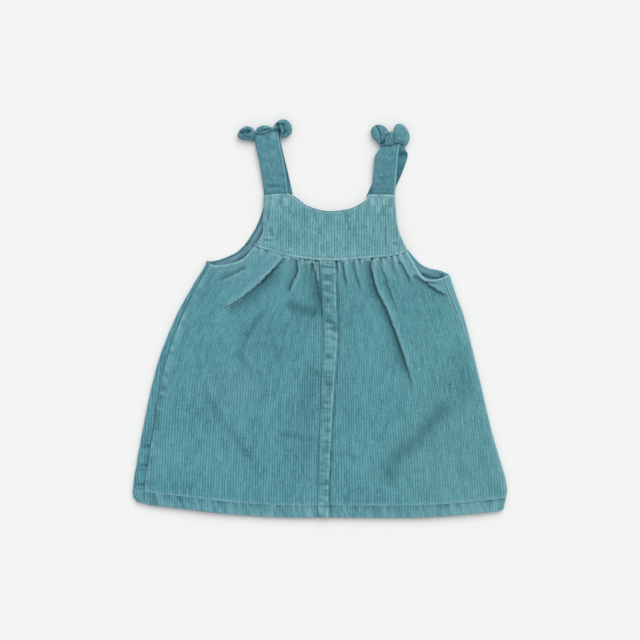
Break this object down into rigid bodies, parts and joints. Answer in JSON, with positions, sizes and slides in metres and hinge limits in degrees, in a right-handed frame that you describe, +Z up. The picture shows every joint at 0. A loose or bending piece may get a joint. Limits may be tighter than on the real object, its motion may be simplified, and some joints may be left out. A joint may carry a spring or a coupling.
{
  "type": "baby's pinafore dress laid flat",
  "caption": "Baby's corduroy pinafore dress laid flat, front up: gathered A-line skirt, yoke with a scooped neck, and folded shoulder straps tied with small bows.",
  "frame": {"origin": "centre of the dress's box, on the surface that it lies on", "axes": "+Z up, out of the front of the dress; +Y up the dress, from hem to straps; +X across it, to the wearer's left"},
  "size_m": [0.3736, 0.3964, 0.01],
  "materials": {
    "corduroy": "worn cotton corduroy, soft matt nap",
    "yoke_corduroy": "worn cotton corduroy, paler, soft matt nap",
    "twill": "smooth cotton twill, matt",
    "facing_twill": "smooth cotton twill, matt, greyer"
  },
  "bodies": {
    "root": {"yoke_front": "yoke_corduroy", "yoke_back": "yoke_corduroy", "skirt_front_left": "corduroy", "skirt_front_right": "corduroy", "skirt_back": "corduroy", "armhole_facing_left": "facing_twill", "armhole_facing_right": "facing_twill", "strap_left": "twill", "strap_right": "twill", "bow_left_outer": "twill", "bow_left_inner": "twill", "bow_left_knot": "twill", "bow_right_inner": "twill", "bow_right_outer": "twill", "bow_right_knot": "twill"}
  },
  "joints": []
}
